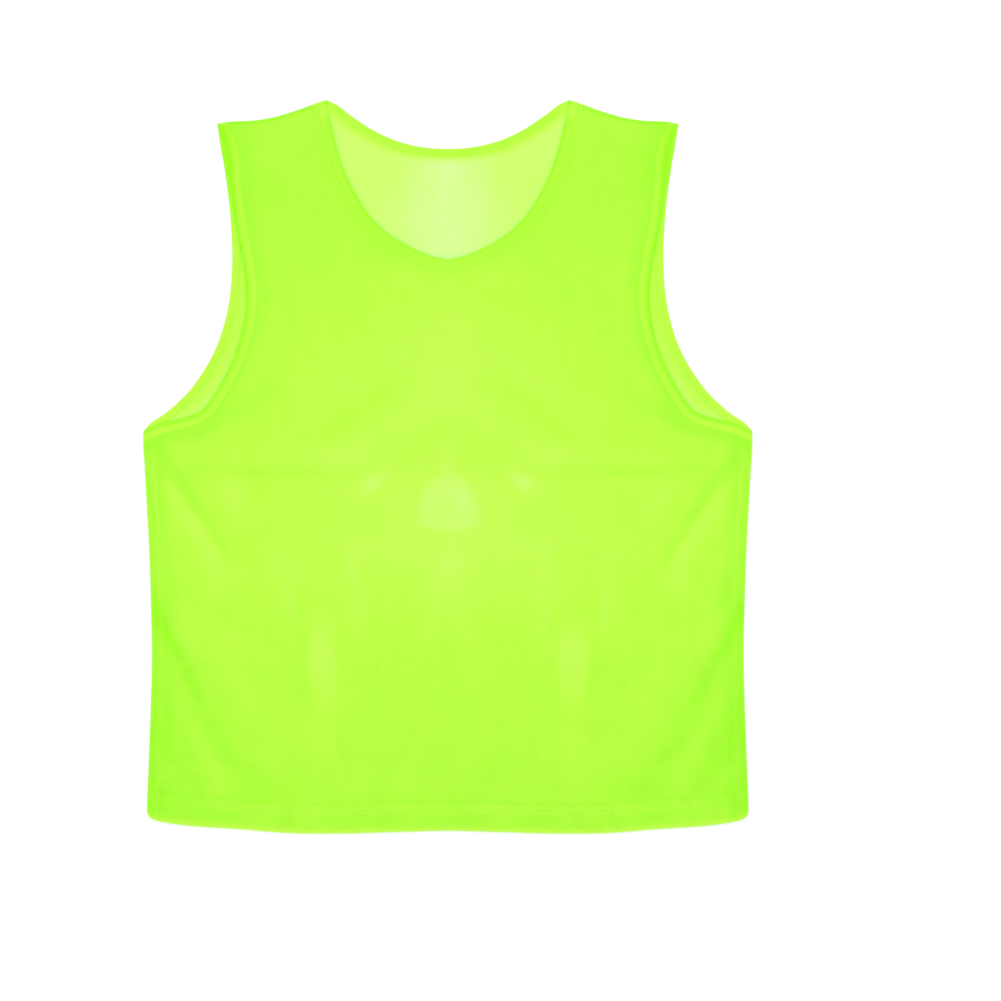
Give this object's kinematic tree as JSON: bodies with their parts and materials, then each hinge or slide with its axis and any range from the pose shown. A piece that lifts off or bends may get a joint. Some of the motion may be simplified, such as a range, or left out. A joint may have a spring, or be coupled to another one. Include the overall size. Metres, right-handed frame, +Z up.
{
  "type": "mesh training bib",
  "caption": "Sleeveless mesh training bib with a scooped neck and wide armholes, laid flat with its front on its back.",
  "frame": {"origin": "on the surface that the bib lies on, at the middle of the garment's width and length", "axes": "+X across the chest, +Y from the hem to the shoulders, +Z up from the surface"},
  "size_m": [0.5392, 0.6501, 0.0078],
  "materials": {
    "mesh_cloth": "fine polyester mesh, neon yellow-green, soft sheen",
    "binding_cloth": "folded polyester strip, neon yellow-green, sewn with thread of the same colour"
  },
  "bodies": {
    "root": {"back_panel": "mesh_cloth", "front_panel": "mesh_cloth", "front_neck_binding": "binding_cloth", "back_neck_binding": "binding_cloth", "left_front_armhole_binding": "binding_cloth", "right_front_armhole_binding": "binding_cloth", "left_back_armhole_binding": "binding_cloth", "right_back_armhole_binding": "binding_cloth"}
  },
  "joints": []
}
